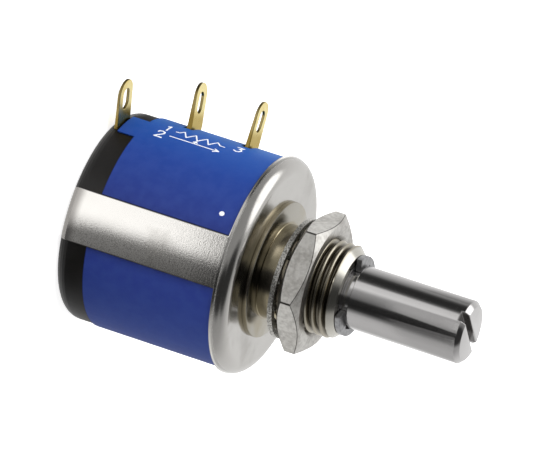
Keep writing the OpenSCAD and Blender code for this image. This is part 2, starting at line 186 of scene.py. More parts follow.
class Finish(Build):
    # one material, with the shader and the coordinates that its pattern reads
    def __init__(self, name, **fixed):
        self.material = bpy.data.materials.new(name)
        Build.__init__(self, emptyTree(self.material))
        self.shader = self.node("ShaderNodeBsdfPrincipled", None, fixed)
        self.close("ShaderNodeOutputMaterial", self.shader)
        self.place = self.node("ShaderNodeTexCoord", out="Object")
        self.x = self.node("ShaderNodeSeparateXYZ", None, {0: self.place})
        self.y, self.z = self.x.at("Y"), self.x.at("Z")
        self.r = self.maths("SQRT", self.x * self.x + self.y * self.y)

    def set(self, name, value):
        self.put(self.shader.socket.node.inputs[name], value)

    def noise(self, scale, detail=2.0, at=None, roughness=0.5):
        sockets = {"Vector": at or self.place, "Scale": scale, "Detail": detail, "Roughness": roughness}
        return self.node("ShaderNodeTexNoise", None, sockets)

    def round(self, size):
        # the way round the shaft axis, in radians times that size
        return self.maths("ARCTAN2", self.y, self.x) * size

    def turn(self):
        return self.round(180 / math.pi)

    def turned(self, radius, around, along, detail=2.0):
        # tool marks on a turned face: how many to a metre round the axis, and away from it or along it
        spot = self.vector(self.round(radius * mm) * around, self.z * along, self.r * along)
        return self.noise(1.0, detail, spot)

    def brushed(self, across, along, detail=2.0):
        return self.noise(1.0, detail, self.vector(self.x * across, self.y * across, self.z * along))

    def band(self, value, edges):
        # rises from 0 to 1 between two places in millimetres
        return self.ease(value, edges[0] * mm, edges[1] * mm)

    def attribute(self, name):
        settings = {"attribute_type": "GEOMETRY", "attribute_name": name}
        return self.node("ShaderNodeAttribute", settings, out="Fac")

    def bump(self, height, depth):
        sockets = {"Strength": 1.0, "Distance": depth * mm, "Height": height}
        self.set("Normal", self.node("ShaderNodeBump", None, sockets))


def dress(name, finish):
    piece = nodes[name]
    if not piece.material_slots:
        piece.data.materials.append(finish.material)
    for slot in piece.material_slots:
        slot.material = finish.material


# Finishes. Colours, roughness, the depth of the bump in millimetres, the scales of
# the patterns, and the places in millimetres or degrees where a finish changes

drawnCase = {
    # fold is the dark colour of the painted shade on the fold and along the straps' edges, and of the specks
    "colour": (0.60, 0.585, 0.56), "stainAndPaintedShade": (0.40, 0.385, 0.36), "fold": (0.19, 0.18, 0.17),
    "rough": 0.12, "brush": 0.08, "bump": 0.008,
    "radius": 11.0, "acrossLines": (9000, 600), "aroundLines": (500, 7000),
    "cloud": 420, "smudge": 180, "pits": 6500, "specks": 8500, "sway": 6,
    "strapFrom": -2.1, "foldShadeSpan": (-18.0, -17.0), "strapEdgeShade": (13.2, 13.5), "speckShadeSide": (2.0, 8.0),
}


def makeDrawnCase():
    look = drawnCase
    f = Finish("drawnNickelCase", Metallic=1.0)
    acrossLines = f.turned(look["radius"], *look["acrossLines"], 3)
    aroundLines = f.turned(look["radius"], *look["aroundLines"], 3)
    cloud = f.noise(look["cloud"], 3)
    smudge = f.ease(f.noise(look["smudge"], 4), 0.5, 0.72)
    pits = f.noise(look["pits"], 3, roughness=0.65)
    onStrap = f.z < look["strapFrom"] * mm
    # painted shade on the fold and tab where the straps bend over the rear
    fold = 1 - f.band(f.z, look["foldShadeSpan"])
    aside = f.maths("WRAP", f.turn() + 90, 90.0, -90.0)  # degrees from the middle of either strap
    # dark specks of grain, real grain, but painted only on the darker side of each strap as painted shade
    speckled = f.ease(f.noise(look["specks"], 2, roughness=0.7), 0.46, 0.66)
    specks = speckled * f.ease(aside + cloud * look["sway"], *look["speckShadeSide"]) * onStrap
    # painted shade lines along the straps' edges
    cut = f.ease(f.maths("ABSOLUTE", aside), *look["strapEdgeShade"]) * onStrap
    plate = f.mix(smudge * 0.5 + cloud * 0.25, look["colour"], look["stainAndPaintedShade"])
    marked = f.mix(specks * 0.55, plate, look["fold"])
    f.set("Base Color", f.mix(f.maths("MAXIMUM", fold * 0.85, cut * 0.8), marked, look["fold"]))
    f.set("Roughness", look["rough"] + acrossLines * look["brush"] + smudge * 0.10)
    f.bump(acrossLines * 0.25 + aroundLines * 0.3 + pits * (onStrap * 0.6 + 0.5), look["bump"])
    return f


turnedBushing = {
    "colour": (0.42, 0.405, 0.36), "tint": (0.33, 0.28, 0.17), "crest": (0.46, 0.42, 0.34),
    "rootShade": (0.10, 0.088, 0.065), "lip": (0.66, 0.64, 0.58), "barrel": (0.33, 0.285, 0.185),
    "gold": (0.60, 0.52, 0.36), "stainAndPaintedShade": (0.07, 0.06, 0.045),
    # the barrel's colour by its turn about the shaft: a painted dark reflection band and a painted golden
    # highlight
    "paintedReflection": [(-180, "barrel"), (-150, "barrel"), (-141, "gold"), (-120, "gold"), (-109, "barrel"),
                (-95, "barrel"), (-87, "stainAndPaintedShade"), (-70, "stainAndPaintedShade"), (-62, "barrel"), (180, "barrel")],
    "sway": 8, "rough": 0.13, "bump": 0.0016, "radius": 4.76, "lines": (0, 9000), "cloud": 700,
    "patches": 260,
    "barrelRim": (4.82, 5.1), "threadStart": (1.9, 2.3), "flank": (4.36, 4.70), "lipStart": (7.25, 7.4),
    "flangeRim": 6.82, "flangeTop": -0.08,
}


def makeTurnedBushing():
    look = turnedBushing
    f = Finish("turnedNickelBushing", Metallic=1.0)
    lines = f.turned(look["radius"], *look["lines"])
    cloud = f.noise(look["cloud"], 3)
    tint = f.ease(f.noise(look["patches"], 3), 0.45, 0.75)
    # painted shade in the thread's roots, with the crests lighter
    ribs = f.mix(f.band(f.r, look["flank"]), look["rootShade"], look["crest"])
    ribs = f.mix(f.band(f.z, look["lipStart"]), ribs, look["lip"])
    # painted reflection on the plain barrel and the flange's rim: darker and lighter bands by the turn about
    # the shaft
    stops = stopsByTurn([(turn, look[shade]) for turn, shade in look["paintedReflection"]])
    paintedReflection = f.ramp(stops, (f.turn() + cloud * look["sway"] + (180 - look["sway"] / 2)) / 360)
    inBarrel = 1 - f.band(f.r, look["barrelRim"])
    onRim = (f.r > look["flangeRim"] * mm) * (f.z < look["flangeTop"] * mm)
    barrel = f.mix(f.band(f.z, look["threadStart"]), paintedReflection, ribs)
    plate = f.mix(tint * 0.6 + cloud * 0.2, look["colour"], look["tint"])
    f.set("Base Color", f.mix(f.maths("MAXIMUM", inBarrel, onRim) * 0.9, plate, barrel))
    f.set("Roughness", look["rough"] + cloud * 0.08 + lines * 0.05)
    f.bump(lines * 0.5 + cloud * 0.5, look["bump"])
    return f


groundShaft = {
    "colour": (0.60, 0.588, 0.582), "dull": (0.49, 0.478, 0.47), "slot": (0.12, 0.115, 0.11),
    "rough": 0.06, "bump": 0.0022, "radius": 3.2, "lines": (500, 8000), "scratches": (900, 12000),
    "cloud": 500, "grain": 8000,
    "slotReach": 2.8, "slotSpan": (18.0, 20.5),
}


def makeGroundShaft():
    look = groundShaft
    f = Finish("groundSteelShaft", Metallic=1.0)
    lines = f.turned(look["radius"], *look["lines"], 3)
    cloud = f.noise(look["cloud"], 3)
    scratch = f.ease(f.brushed(*look["scratches"]), 0.62, 0.72)
    grain = f.noise(look["grain"], 2, roughness=0.7)
    slotLow, slotHigh = look["slotSpan"]
    # painted shade in the slot across the shaft's end
    inSlot = (f.r < look["slotReach"] * mm) * (f.z < slotHigh * mm) * (f.z > slotLow * mm)
    steel = f.mix(cloud * 0.3 + scratch * 0.2, look["colour"], look["dull"])
    f.set("Base Color", f.mix(inSlot * 0.8, steel, look["slot"]))
    f.set("Roughness", look["rough"] + lines * 0.05 + cloud * 0.03)
    f.bump(lines * 0.5 + grain * 0.8, look["bump"])
    return f


satinNut = {"colour": (0.66, 0.645, 0.61), "dark": (0.42, 0.402, 0.375), "line": (0.05, 0.047, 0.043),
            "rough": 0.30, "bump": 0.006, "lines": (1200, 6000), "grain": 2600, "cloud": 480}


def makeSatinNut():
    look = satinNut
    f = Finish("satinNickelNut", Metallic=1.0)
    grain = f.noise(look["grain"], 3, roughness=0.6)
    cloud = f.noise(look["cloud"], 4)
    lines = f.brushed(*look["lines"])
    line = f.attribute("edgeShadeLine")
    satin = f.mix(f.ease(cloud * 0.5 + grain * 0.5, 0.36, 0.66), look["colour"], look["dark"])
    # painted shade lines along the nut's edges and corners
    f.set("Base Color", f.mix(f.ease(line, 0.35, 0.9) * 0.85, satin, look["line"]))
    f.set("Roughness", look["rough"] + grain * 0.10 + cloud * 0.06)
    f.bump(grain * 0.8 + lines * 0.2, look["bump"])
    return f


springWasher = {"colour": (0.70, 0.69, 0.65), "dark": (0.12, 0.115, 0.10), "rough": 0.34, "bump": 0.006,
                "grain": 1500, "patches": 6500}


def makeSpringWasher():
    look = springWasher
    f = Finish("springSteelWasher", Metallic=1.0)
    grain = f.noise(look["grain"], 4, roughness=0.65)
    patch = f.ease(f.noise(look["patches"], 2, roughness=0.6), 0.42, 0.60)
    f.set("Base Color", f.mix(patch * 0.85, look["colour"], look["dark"]))
    f.set("Roughness", look["rough"] + grain * 0.16)
    f.bump(grain, look["bump"])
    return f


zincRing = {"colour": (0.42, 0.42, 0.425), "dark": (0.28, 0.28, 0.285), "rough": 0.33, "bump": 0.004,
            "grain": 2200}


def makeZincRing():
    look = zincRing
    f = Finish("zincPlatedRing", Metallic=1.0)
    grain = f.noise(look["grain"], 3)
    f.set("Base Color", f.mix(f.ease(grain, 0.3, 0.75), look["colour"], look["dark"]))
    f.set("Roughness", look["rough"] + grain * 0.12)
    f.bump(grain, look["bump"])
    return f


mouldedBlack = {"colour": (0.0050, 0.0045, 0.0040), "worn": (0.012, 0.010, 0.009), "gloss": 0.22,
                "rough": 0.32, "bump": 0.004, "radius": 10.6, "flow": (300, 1800), "grain": 2400,
                "cloud": 350}


def makeMouldedBlack():
    look = mouldedBlack
    f = Finish("mouldedBlackBody", **{"Specular IOR Level": look["gloss"]})
    grain = f.noise(look["grain"], 3, roughness=0.6)
    cloud = f.ease(f.noise(look["cloud"], 3), 0.4, 0.75)
    flow = f.turned(look["radius"], *look["flow"])
    f.set("Base Color", f.mix(cloud * 0.5 + grain * 0.2, look["colour"], look["worn"]))
    f.set("Roughness", look["rough"] + grain * 0.12 + cloud * 0.06)
    f.bump(grain * 0.7 + flow * 0.3, look["bump"])
    return f


labelFilm = {
    "edge": (0.004, 0.006, 0.022), "speck": (0.06, 0.12, 0.42), "gloss": 0.2, "rough": 0.42,
    "bump": 0.003, "cloud": 900, "grain": 3200, "edgeShadowWidth": 0.10, "tabEnd": 216.4,
    "strap": 270, "strapEdgeShade": (14.2, 14.8), "seam": 40.0,
    # the blue by its turn about the shaft: painted light where the film faces the light, painted shade where
    # it turns away
    "turns": [(178, (0.010, 0.150, 0.52)), (200, (0.008, 0.080, 0.38)), (225, (0.012, 0.050, 0.29)),
              (256, (0.018, 0.036, 0.22)), (290, (0.018, 0.042, 0.27)), (330, (0.013, 0.048, 0.29)),
              (384, (0.014, 0.050, 0.30))],
}


def makeLabelFilm():
    look = labelFilm
    f = Finish("blueLabelFilm", **{"Specular IOR Level": look["gloss"]})
    cloud = f.noise(look["cloud"], 3)
    grain = f.noise(look["grain"], 2)
    turn = f.maths("WRAP", f.turn(), look["seam"] + 360, look["seam"])
    first, last = look["turns"][0][0], look["turns"][-1][0]
    # painted light and shade by the turn about the shaft
    paintedLightFilm = f.ramp(stopsByTurn(look["turns"], first, last), (turn - first) / (last - first))
    speck = f.mix((f.ease(cloud, 0.3, 0.7) - 0.5) * 0.12 + 0.06, paintedLightFilm, look["speck"])
    # painted shadow lines along the label's top under the skirt, along its rear edge past the tab, and
    # beside the straps
    low, high, width = labelSize["low"], labelSize["high"], look["edgeShadowWidth"]
    nearTop = f.band(f.z, (high - width, high))
    nearRear = (1 - f.band(f.z, (low, low + width))) * (turn > look["tabEnd"])
    nearStrap = 1 - f.ease(f.maths("ABSOLUTE", turn - look["strap"]), *look["strapEdgeShade"])
    edges = f.maths("MAXIMUM", f.maths("MAXIMUM", nearTop, nearRear), nearStrap)
    f.set("Base Color", f.mix(edges * 0.85, speck, look["edge"]))
    f.set("Roughness", look["rough"] + grain * 0.10 + cloud * 0.06)
    f.bump(grain * 0.5 + cloud * 0.5, look["bump"])
    return f


whiteInk = {"colour": (0.93, 0.95, 1.0), "thin": (0.30, 0.38, 0.70), "rough": 0.5, "bump": 0.003,
            "gaps": 5200}


def makeWhiteInk():
    look = whiteInk
    f = Finish("whitePrint")
    gap = f.ease(f.noise(look["gaps"], 3), 0.56, 0.74)
    f.set("Base Color", f.mix(gap * 0.75, look["colour"], look["thin"]))
    f.set("Roughness", look["rough"] + gap * 0.1)
    f.bump(gap, look["bump"])
    return f


# side and rootShade are the colours of painted shade on the lug's narrow sides and near its root
goldLug = {"colour": (1.0, 0.86, 0.40), "deep": (0.88, 0.68, 0.22), "side": (0.15, 0.10, 0.03),
           "rootShade": (0.44, 0.30, 0.01), "rough": 0.24, "bump": 0.003, "grain": 1900, "cloud": 520,
           "rootShadeSpan": (11.6, 12.9)}


def makeGoldLug():
    look = goldLug
    f = Finish("goldPlatedLug", Metallic=1.0)
    grain = f.noise(look["grain"], 3)
    cloud = f.noise(look["cloud"], 3)
    # painted shade on the lug's narrow sides, by which way they face
    up = f.node("ShaderNodeSeparateXYZ", None, {0: f.node("ShaderNodeNewGeometry", out="Normal")}).at("Z")
    side = 1 - f.ease(f.maths("ABSOLUTE", up), 0.25, 0.75)
    plate = f.mix(f.ease(cloud, 0.4, 0.75), look["colour"], look["deep"])
    # painted shade near the lug's root, beside the body
    rootShade = 1 - f.band(f.r, look["rootShadeSpan"])
    shaded = f.mix(rootShade * 0.8, plate, look["rootShade"])
    f.set("Base Color", f.mix(side * 0.8, shaded, look["side"]))
    f.set("Roughness", look["rough"] + grain * 0.10)
    f.bump(grain, look["bump"])
    return f


springContact = {"colour": (0.72, 0.52, 0.30), "deep": (0.48, 0.31, 0.16), "rough": 0.24, "bump": 0.0015,
                 "lines": (1500, 7000), "cloud": 900}


def makeSpringContact():
    look = springContact
    f = Finish("bronzeContact", Metallic=1.0)
    cloud = f.noise(look["cloud"], 3)
    lines = f.brushed(*look["lines"])
    f.set("Base Color", f.mix(f.ease(cloud, 0.35, 0.8), look["colour"], look["deep"]))
    f.set("Roughness", look["rough"] + lines * 0.1)
    f.bump(lines, look["bump"])
    return f


windingWire = {"colour": (0.60, 0.42, 0.30), "groove": (0.16, 0.09, 0.05), "rough": 0.25, "bump": 0.03,
               "cloud": 600, "pitch": 0.11}


def makeWindingWire():
    # the wire's turns follow the length along the mandrel, which the piece carries as an attribute
    look = windingWire
    f = Finish("woundResistanceWire", Metallic=1.0)
    along = f.attribute("alongMandrel")
    wave = f.maths("ABSOLUTE", f.maths("SINE", along * (math.pi / (look["pitch"] * mm))))
    cloud = f.noise(look["cloud"], 3)
    # painted shade in the creases between the wire's turns
    f.set("Base Color", f.mix(wave * 0.8 + cloud * 0.2, look["groove"], look["colour"]))
    f.set("Roughness", look["rough"] + (1 - wave) * 0.3)
    f.bump(wave, look["bump"])
    return f


mouldedDrum = {"colour": (0.50, 0.42, 0.28), "deep": (0.36, 0.29, 0.18), "rough": 0.42, "bump": 0.005,
               "grain": 2100, "cloud": 300}


def makeMouldedDrum():
    look = mouldedDrum
    f = Finish("mouldedDrum")
    grain = f.noise(look["grain"], 3)
    cloud = f.noise(look["cloud"], 3)
    f.set("Base Color", f.mix(f.ease(cloud, 0.3, 0.75), look["colour"], look["deep"]))
    f.set("Roughness", look["rough"] + grain * 0.12)
    f.bump(grain, look["bump"])
    return f


caseFinish = makeDrawnCase()
bushingFinish = makeTurnedBushing()
shaftFinish = makeGroundShaft()
nutFinish = makeSatinNut()
washerFinish = makeSpringWasher()
ringFinish = makeZincRing()
blackFinish = makeMouldedBlack()
labelFinish = makeLabelFilm()
inkFinish = makeWhiteInk()
lugFinish = makeGoldLug()
contactFinish = makeSpringContact()
wireFinish = makeWindingWire()
drumFinish = makeMouldedDrum()

finishOf = {
    "case_lid": caseFinish, "bushing": bushingFinish, "housing": blackFinish, "rear_cover": blackFinish,
    "label_main": labelFinish, "label_side": labelFinish, "terminal_1": lugFinish, "terminal_2": lugFinish,
    "terminal_3": lugFinish, "end_clip_1": contactFinish, "end_clip_3": contactFinish,
    "resistance_element": wireFinish, "takeoff_brush": contactFinish, "thrust_washer": contactFinish,
    "shaft": shaftFinish, "retaining_ring": ringFinish, "rotor_drum": drumFinish,
    "collector_rail": contactFinish, "slip_ring": contactFinish, "carriage": drumFinish,
    "wiper_contact": contactFinish, "collector_contact": contactFinish,
    "lock_washer": washerFinish, "hex_nut": nutFinish,
}
for node, finish in finishOf.items():
    dress(node, finish)
print("finishes done")


# Meshes

def meshFrom(name, bm):
    mesh = bpy.data.meshes.new(name)
    bm.to_mesh(mesh)
    bm.free()
    return mesh


def closeMesh(name, bm, smoothUnder):
    bmesh.ops.remove_doubles(bm, verts=bm.verts, dist=weld)
    bmesh.ops.recalc_face_normals(bm, faces=bm.faces)
    mesh = meshFrom(name, bm)
    mesh.shade_smooth()
    mesh.set_sharp_from_angle(angle=math.radians(smoothUnder))
    return mesh


def breakEdges(bm, angle, width, slide=False):
    # rounds the edges that are sharper than the angle
    sharp = [e for e in bm.edges if e.is_manifold and e.calc_face_angle(0) > math.radians(angle)]
    bmesh.ops.bevel(bm, geom=sharp, offset=width * mm, segments=2, profile=0.5,
                    affect="EDGES", clamp_overlap=True, loop_slide=slide)


def revolve(bm, profile, columns):
    # a profile of (radius, height) in millimetres, turned round the shaft axis
    angles = [2 * math.pi * i / columns for i in range(columns)]
    rings = [[bm.verts.new(spotAt(radius, a, height)) for a in angles] for radius, height in profile]
    for low, high in zip(rings, rings[1:]):
        for i in range(columns):
            k = (i + 1) % columns
            bm.faces.new((low[i], low[k], high[k], high[i]))


def addPiece(name, mesh, finish, body, stands=()):
    # stands are the CAD nodes that the piece replaces
    piece = bpy.data.objects.new(name, mesh)
    bpy.context.scene.collection.objects.link(piece)
    mesh.materials.clear()
    mesh.materials.append(finish.material)
    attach(piece, body)
    if stands:
        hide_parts(*stands)


# Drawn case: a lid with a short skirt, and two straps that fold over the rear

drawnCup = {"sheet": 0.49, "round": 1.45, "fold": 0.35, "tabEnd": 7.37, "strap": 270.0, "strapHalf": 13.7,
            "edge": 0.05, "edgeTurn": 0.6, "margin": 0.15, "lidRings": (7.0, 8.6), "bendSteps": 16,
            "strapSteps": 8, "foldSteps": 10, "strapColumns": 5, "openColumns": 50, "slack": 0.01,
            "sharpOver": 60, "smoothUnder": 30}


def quarter(middle, outer, inner, start, steps):
    # pairs of points on two arcs of 90 degrees round one middle, clockwise from the start
    pairs = []
    for k in range(steps + 1):
        a = math.radians(start - 90 * k / steps)
        across, up = math.cos(a), math.sin(a)
        pairs.append(tuple((middle[0] + r * across, middle[1] + r * up) for r in (outer, inner)))
    return pairs


def cupRows():
    # pairs of outer and inner points from the neck hole to the strap's end,
    # and how many of them go all round
    c = drawnCup
    sheet, margin = c["sheet"], c["margin"]
    hole, outside, lid, tabFace = (caseSize[key] for key in ("inner", "outer", "high", "low"))
    skirtEnd = labelSize["high"]
    bend = outside - c["round"]
    rows = [((r, lid), (r, lid - sheet)) for r in (hole, hole + margin, *c["lidRings"], bend - margin)]
    rows += quarter((bend, lid - c["round"]), c["round"], c["round"] - sheet, 90, c["bendSteps"])
    rows.append(((outside, skirtEnd), (outside - sheet, skirtEnd)))
    allRound = len(rows)
    outer = c["fold"] + sheet
    foldMiddle = (outside - outer, tabFace + outer)
    for k in range(1, c["strapSteps"] + 1):
        z = skirtEnd + (foldMiddle[1] + margin - skirtEnd) * k / c["strapSteps"]
        rows.append(((outside, z), (outside - sheet, z)))
    rows += quarter(foldMiddle, outer, c["fold"], 0, c["foldSteps"])
    for r in (foldMiddle[0] - margin, (foldMiddle[0] + c["tabEnd"]) / 2, c["tabEnd"]):
        rows.append(((r, tabFace), (r, tabFace + sheet)))
    return rows, allRound


def cupTurns():
    # where the columns stand, with close ones beside each strap's edges
    c = drawnCup
    half, near = c["strapHalf"], c["edgeTurn"]
    count, openCount = c["strapColumns"], c["openColumns"]
    inside = [half * k / count for k in range(1 - count, count)]
    onStrap = [-half, -half + near] + inside + [half - near, half]
    between = [half + (180 - 2 * half) * k / openCount for k in range(1, openCount)]
    beside = [half + near] + between + [180 - half - near]
    return [c["strap"] + side + a for side in (0, 180) for a in onStrap + beside]


def makeCase():
    c = drawnCup
    turns = cupTurns()
    fromStrap = [abs((a - c["strap"] + 90) % 180 - 90) for a in turns]
    rows, allRound = cupRows()
    bm = bmesh.new()
    made = {}

    def vert(side, row, column):
        key = (side, row, column % len(turns))
        if key not in made:
            r, z = rows[row][side]
            made[key] = bm.verts.new(spotAt(r, math.radians(turns[key[2]]), z))
        return made[key]

    def held(row, column):
        # whether the sheet has a face there
        column %= len(turns)
        farthest = max(fromStrap[column], fromStrap[(column + 1) % len(turns)])
        onStrap = farthest < c["strapHalf"] + c["slack"]
        return 0 <= row < len(rows) - 1 and (row < allRound - 1 or onStrap)

    places = [(row, column) for row in range(len(rows) - 1) for column in range(len(turns))]
    for row, column in [place for place in places if held(*place)]:
        corners = [(row, column), (row, column + 1), (row + 1, column + 1), (row + 1, column)]
        bm.faces.new([vert(0, *k) for k in corners])
        bm.faces.new([vert(1, *k) for k in reversed(corners)])
        beside = [(row - 1, column), (row, column + 1), (row + 1, column), (row, column - 1)]
        for k, other in enumerate(beside):
            if not held(*other):
                a, b = corners[k], corners[(k + 1) % 4]
                bm.faces.new((vert(0, *a), vert(0, *b), vert(1, *b), vert(1, *a)))
    bmesh.ops.recalc_face_normals(bm, faces=bm.faces)
    breakEdges(bm, c["sharpOver"], c["edge"])
    mesh = closeMesh("drawnCase", bm, c["smoothUnder"])
    addPiece("drawnCase", mesh, caseFinish, "case", ["case_lid"])


makeCase()
print("case done")


# Threaded bushing

thread = {"start": 2.05, "pitch": 0.79375, "major": 4.7625, "depth": 0.46, "chamfer": 0.75,
          "columns": 120, "rowsPerTurn": 10, "crestFlat": 0.14, "flank": 0.66, "rootRound": 0.2,
          "runIn": 1.2, "runOut": 0.9, "lastPlain": 0.35}


def newGroup(name, inputs, output):
    group = bpy.data.node_groups.new(name, "GeometryNodeTree")
    for title in inputs:
        group.interface.new_socket(title, in_out="INPUT", socket_type="NodeSocketFloat")
    group.interface.new_socket(output, in_out="OUTPUT", socket_type="NodeSocketGeometry")
    return group


def endGroup(g, geometry, finish):
    real = g.node("GeometryNodeRealizeInstances", None, {"Geometry": geometry})
    dressed = {"Geometry": real, "Material": finish.material}
    g.close("NodeGroupOutput", g.node("GeometryNodeSetMaterial", None, dressed))


def runGroup(group, values):
    # the tree's result as a plain mesh, with its inputs set by their identifiers
    holder = bpy.data.objects.new("holder", bpy.data.meshes.new("holder"))
    bpy.context.scene.collection.objects.link(holder)
    modifier = holder.modifiers.new("tree", "NODES")
    modifier.node_group = group
    for item in group.interface.items_tree:
        if item.in_out == "INPUT":
            modifier[item.identifier] = values[item.name]
    holder.update_tag()
    graph = bpy.context.evaluated_depsgraph_get()
    mesh = bpy.data.meshes.new_from_object(holder.evaluated_get(graph))
    holder.modifiers.remove(modifier)
    bpy.data.objects.remove(holder)
    return mesh


def threadGroup():
    # a grid whose rows follow the helix, so that every crest is a clean line
    t = thread
    inputs = ("Start", "End", "Pitch", "Major Radius", "Depth", "End Chamfer")
    group = newGroup("threadOnBushing", inputs, "Thread")
    g = Build(group)
    start = g.node("NodeGroupInput", out="Start")
    end, pitch, major = start.at("End"), start.at("Pitch"), start.at("Major Radius")
    depth, chamfer = start.at("Depth"), start.at("End Chamfer")
    turns = math.ceil((bushingSize["high"] - t["start"]) / t["pitch"]) + 1
    grid = g.node("GeometryNodeMeshGrid", None,
                  {"Size X": 1.0, "Size Y": 1.0, "Vertices X": t["columns"] + 1,
                   "Vertices Y": turns * t["rowsPerTurn"] + 1})
    place = g.node("ShaderNodeSeparateXYZ", None, {0: g.node("GeometryNodeInputPosition")})
    around = place + 0.5
    along = (place.at("Y") + 0.5) * turns
    raw = start + pitch * (along - 1 + around)
    height = g.limit(raw, start, end)
    wave = g.maths("ABSOLUTE", g.maths("FRACT", along + 0.5) - 0.5) * 2
    groove = g.limit((wave - t["crestFlat"]) / t["flank"], 0.0, 1.0)
    groove = g.maths("SMOOTH_MIN", groove, 1.0, t["rootRound"])
    runIn = g.limit((raw - start) / (pitch * t["runIn"]), 0.0, 1.0)
    runOut = g.limit((end - raw) / (pitch * t["runOut"]) - t["lastPlain"], 0.0, 1.0)
    cut = major - depth * groove * (runIn * runOut)
    radius = g.maths("MINIMUM", cut, major - chamfer + (end - height))
    turn = around * (2 * math.pi)
    spot = g.vector(radius * g.maths("COSINE", turn), radius * g.maths("SINE", turn), height)
    moved = g.node("GeometryNodeSetPosition", None, {"Geometry": grid, "Position": spot})
    merged = g.node("GeometryNodeMergeByDistance", None, {"Geometry": moved, "Distance": weld})
    endGroup(g, merged, bushingFinish)
    return group


bushingTurned = {"neck": 5.2, "stake": 6.0, "edge": 0.12, "boreEdge": 0.15, "fillet": 0.07,
                 "rearEdge": 0.04, "edgeStep": 0.3, "smoothUnder": 38}


def makeBushing():
    b, t = bushingTurned, thread
    major, start, end, chamfer = t["major"], t["start"], bushingSize["high"], t["chamfer"]
    helix = runGroup(threadGroup(), {"Start": start * mm, "End": end * mm, "Pitch": t["pitch"] * mm,
                                     "Major Radius": major * mm, "Depth": t["depth"] * mm,
                                     "End Chamfer": chamfer * mm})
    bm = bmesh.new()
    bm.from_mesh(helix)
    edge, boreEdge, fillet, rearEdge = b["edge"], b["boreEdge"], b["fillet"], b["rearEdge"]
    bore, flange, stakeEnd = bushingSize["inner"], bushingSize["outer"], bushingSize["low"]
    lid = caseSize["high"]
    underLid = lid - drawnCup["sheet"]
    step = edge * b["edgeStep"]
    profile = [(major, start), (major, fillet), (major + fillet, 0),
               (flange - edge, 0), (flange - step, -step), (flange, -edge),
               (flange, lid + rearEdge), (flange - rearEdge, lid), (b["neck"], lid), (b["neck"], underLid),
               (b["stake"], underLid), (b["stake"], stakeEnd), (bore, stakeEnd),
               (bore, end - boreEdge), (bore + boreEdge, end), (major - chamfer, end)]
    revolve(bm, profile, t["columns"])
    mesh = closeMesh("threadedBushing", bm, b["smoothUnder"])
    addPiece("threadedBushing", mesh, bushingFinish, "case", ["bushing"])


makeBushing()
print("bushing done")


# Hexagon nut

nut = {"flats": 12.7, "turn": 47.8, "sink": 0.35, "slope": 30, "face": 6.15, "cornerTurn": 0.6,
       "edge": 0.07, "edgeStep": 0.4, "perSide": 16, "mouthIn": 0.04, "mouthOut": 0.05,
       "smoothUnder": 24}


def hexRadius(angle):
    # distance to the hexagon's side in that direction, with a narrow flat across each corner
    away = max(nut["cornerTurn"], abs((angle + 30) % 60 - 30))
    return nut["flats"] / 2 / math.cos(math.radians(30 - away))


def makeNut():
    bm = bmesh.new()
    edgeShadeLine = bm.verts.layers.float.new("edgeShadeLine")
    low, high, bore = nutSize["low"], nutSize["high"], nutSize["inner"]
    face, edge, sink = nut["face"], nut["edge"], nut["sink"]
    corner, perSide = nut["cornerTurn"], nut["perSide"]
    slope = math.tan(math.radians(nut["slope"]))
    inside = [60 * k / perSide for k in range(1, perSide)]
    side = [corner, corner * 2] + inside + [60 - corner * 2, 60 - corner]
    angles = [60 * k + a for k in range(6) for a in side]
    rings = []

    def ring(radiusAt, heightAt, line=0.0, corners=0.0):
        # line and corners say how dark the painted shade line along the edges is there
        verts = []
        for a in angles:
            r = radiusAt(a)
            vert = bm.verts.new(spotAt(r, math.radians(a + nut["turn"]), heightAt(r)))
            atCorner = abs((a + 30) % 60 - 30) < corner * 1.5
            vert[edgeShadeLine] = max(line, corners if atCorner else 0.0)
            verts.append(vert)
        rings.append(verts)

    def flat(radius, height):
        ring(lambda a: radius, lambda r: height)

    def drawn(depth):
        return lambda a: hexRadius(a) - depth

    def under(r):
        return low + max(0.0, r - face) * slope

    def over(r):
        return high - max(0.0, r - face) * slope

    mouth, step = bore + sink, edge * nut["edgeStep"]
    flat(bore, low + sink)
    flat(mouth - nut["mouthIn"], low + nut["mouthIn"])
    flat(mouth + nut["mouthOut"], low)
    flat(face, low)
    ring(drawn(edge), under)
    ring(drawn(step), under, 1.0)
    ring(hexRadius, lambda r: under(r) + step, 1.0, 1.0)
    ring(hexRadius, lambda r: under(r) + edge, 0.0, 1.0)
    ring(hexRadius, lambda r: over(r) - edge, 0.0, 1.0)
    ring(hexRadius, lambda r: over(r) - step, 1.0, 1.0)
    ring(drawn(step), over, 1.0)
    ring(drawn(edge), over)
    flat(face, high)
    flat(mouth + nut["mouthOut"], high)
    flat(mouth - nut["mouthIn"], high - nut["mouthIn"])
    flat(bore, high - sink)
    for a, b in zip(rings, rings[1:] + rings[:1]):
        for i in range(len(angles)):
            k = (i + 1) % len(angles)
            bm.faces.new((a[i], a[k], b[k], b[i]))
    mesh = closeMesh("chamferedNut", bm, nut["smoothUnder"])
    addPiece("chamferedNut", mesh, nutFinish, "nut", ["hex_nut"])


makeNut()
print("nut done")


# Lugs, ring and shaft: the CAD solids with broken edges

# body, slot, width of the edge, and how far the broad faces are drawn in outside the case
edged = {
    "terminal_1": ("case", "lug_gold", 0.07, 0.1), "terminal_2": ("case", "lug_gold", 0.07, 0.1),
    "terminal_3": ("case", "lug_gold", 0.07, 0.1), "retaining_ring": ("rotor", "ring_metal", 0.07, 0.0),
    "shaft": ("rotor", "shaft_metal", 0.05, 0.0),
}
edging = {"outside": 11.2, "broad": 0.6, "weld": 0.001, "flatUnder": 0.6, "sharpOver": 32,
          "smoothUnder": 14}


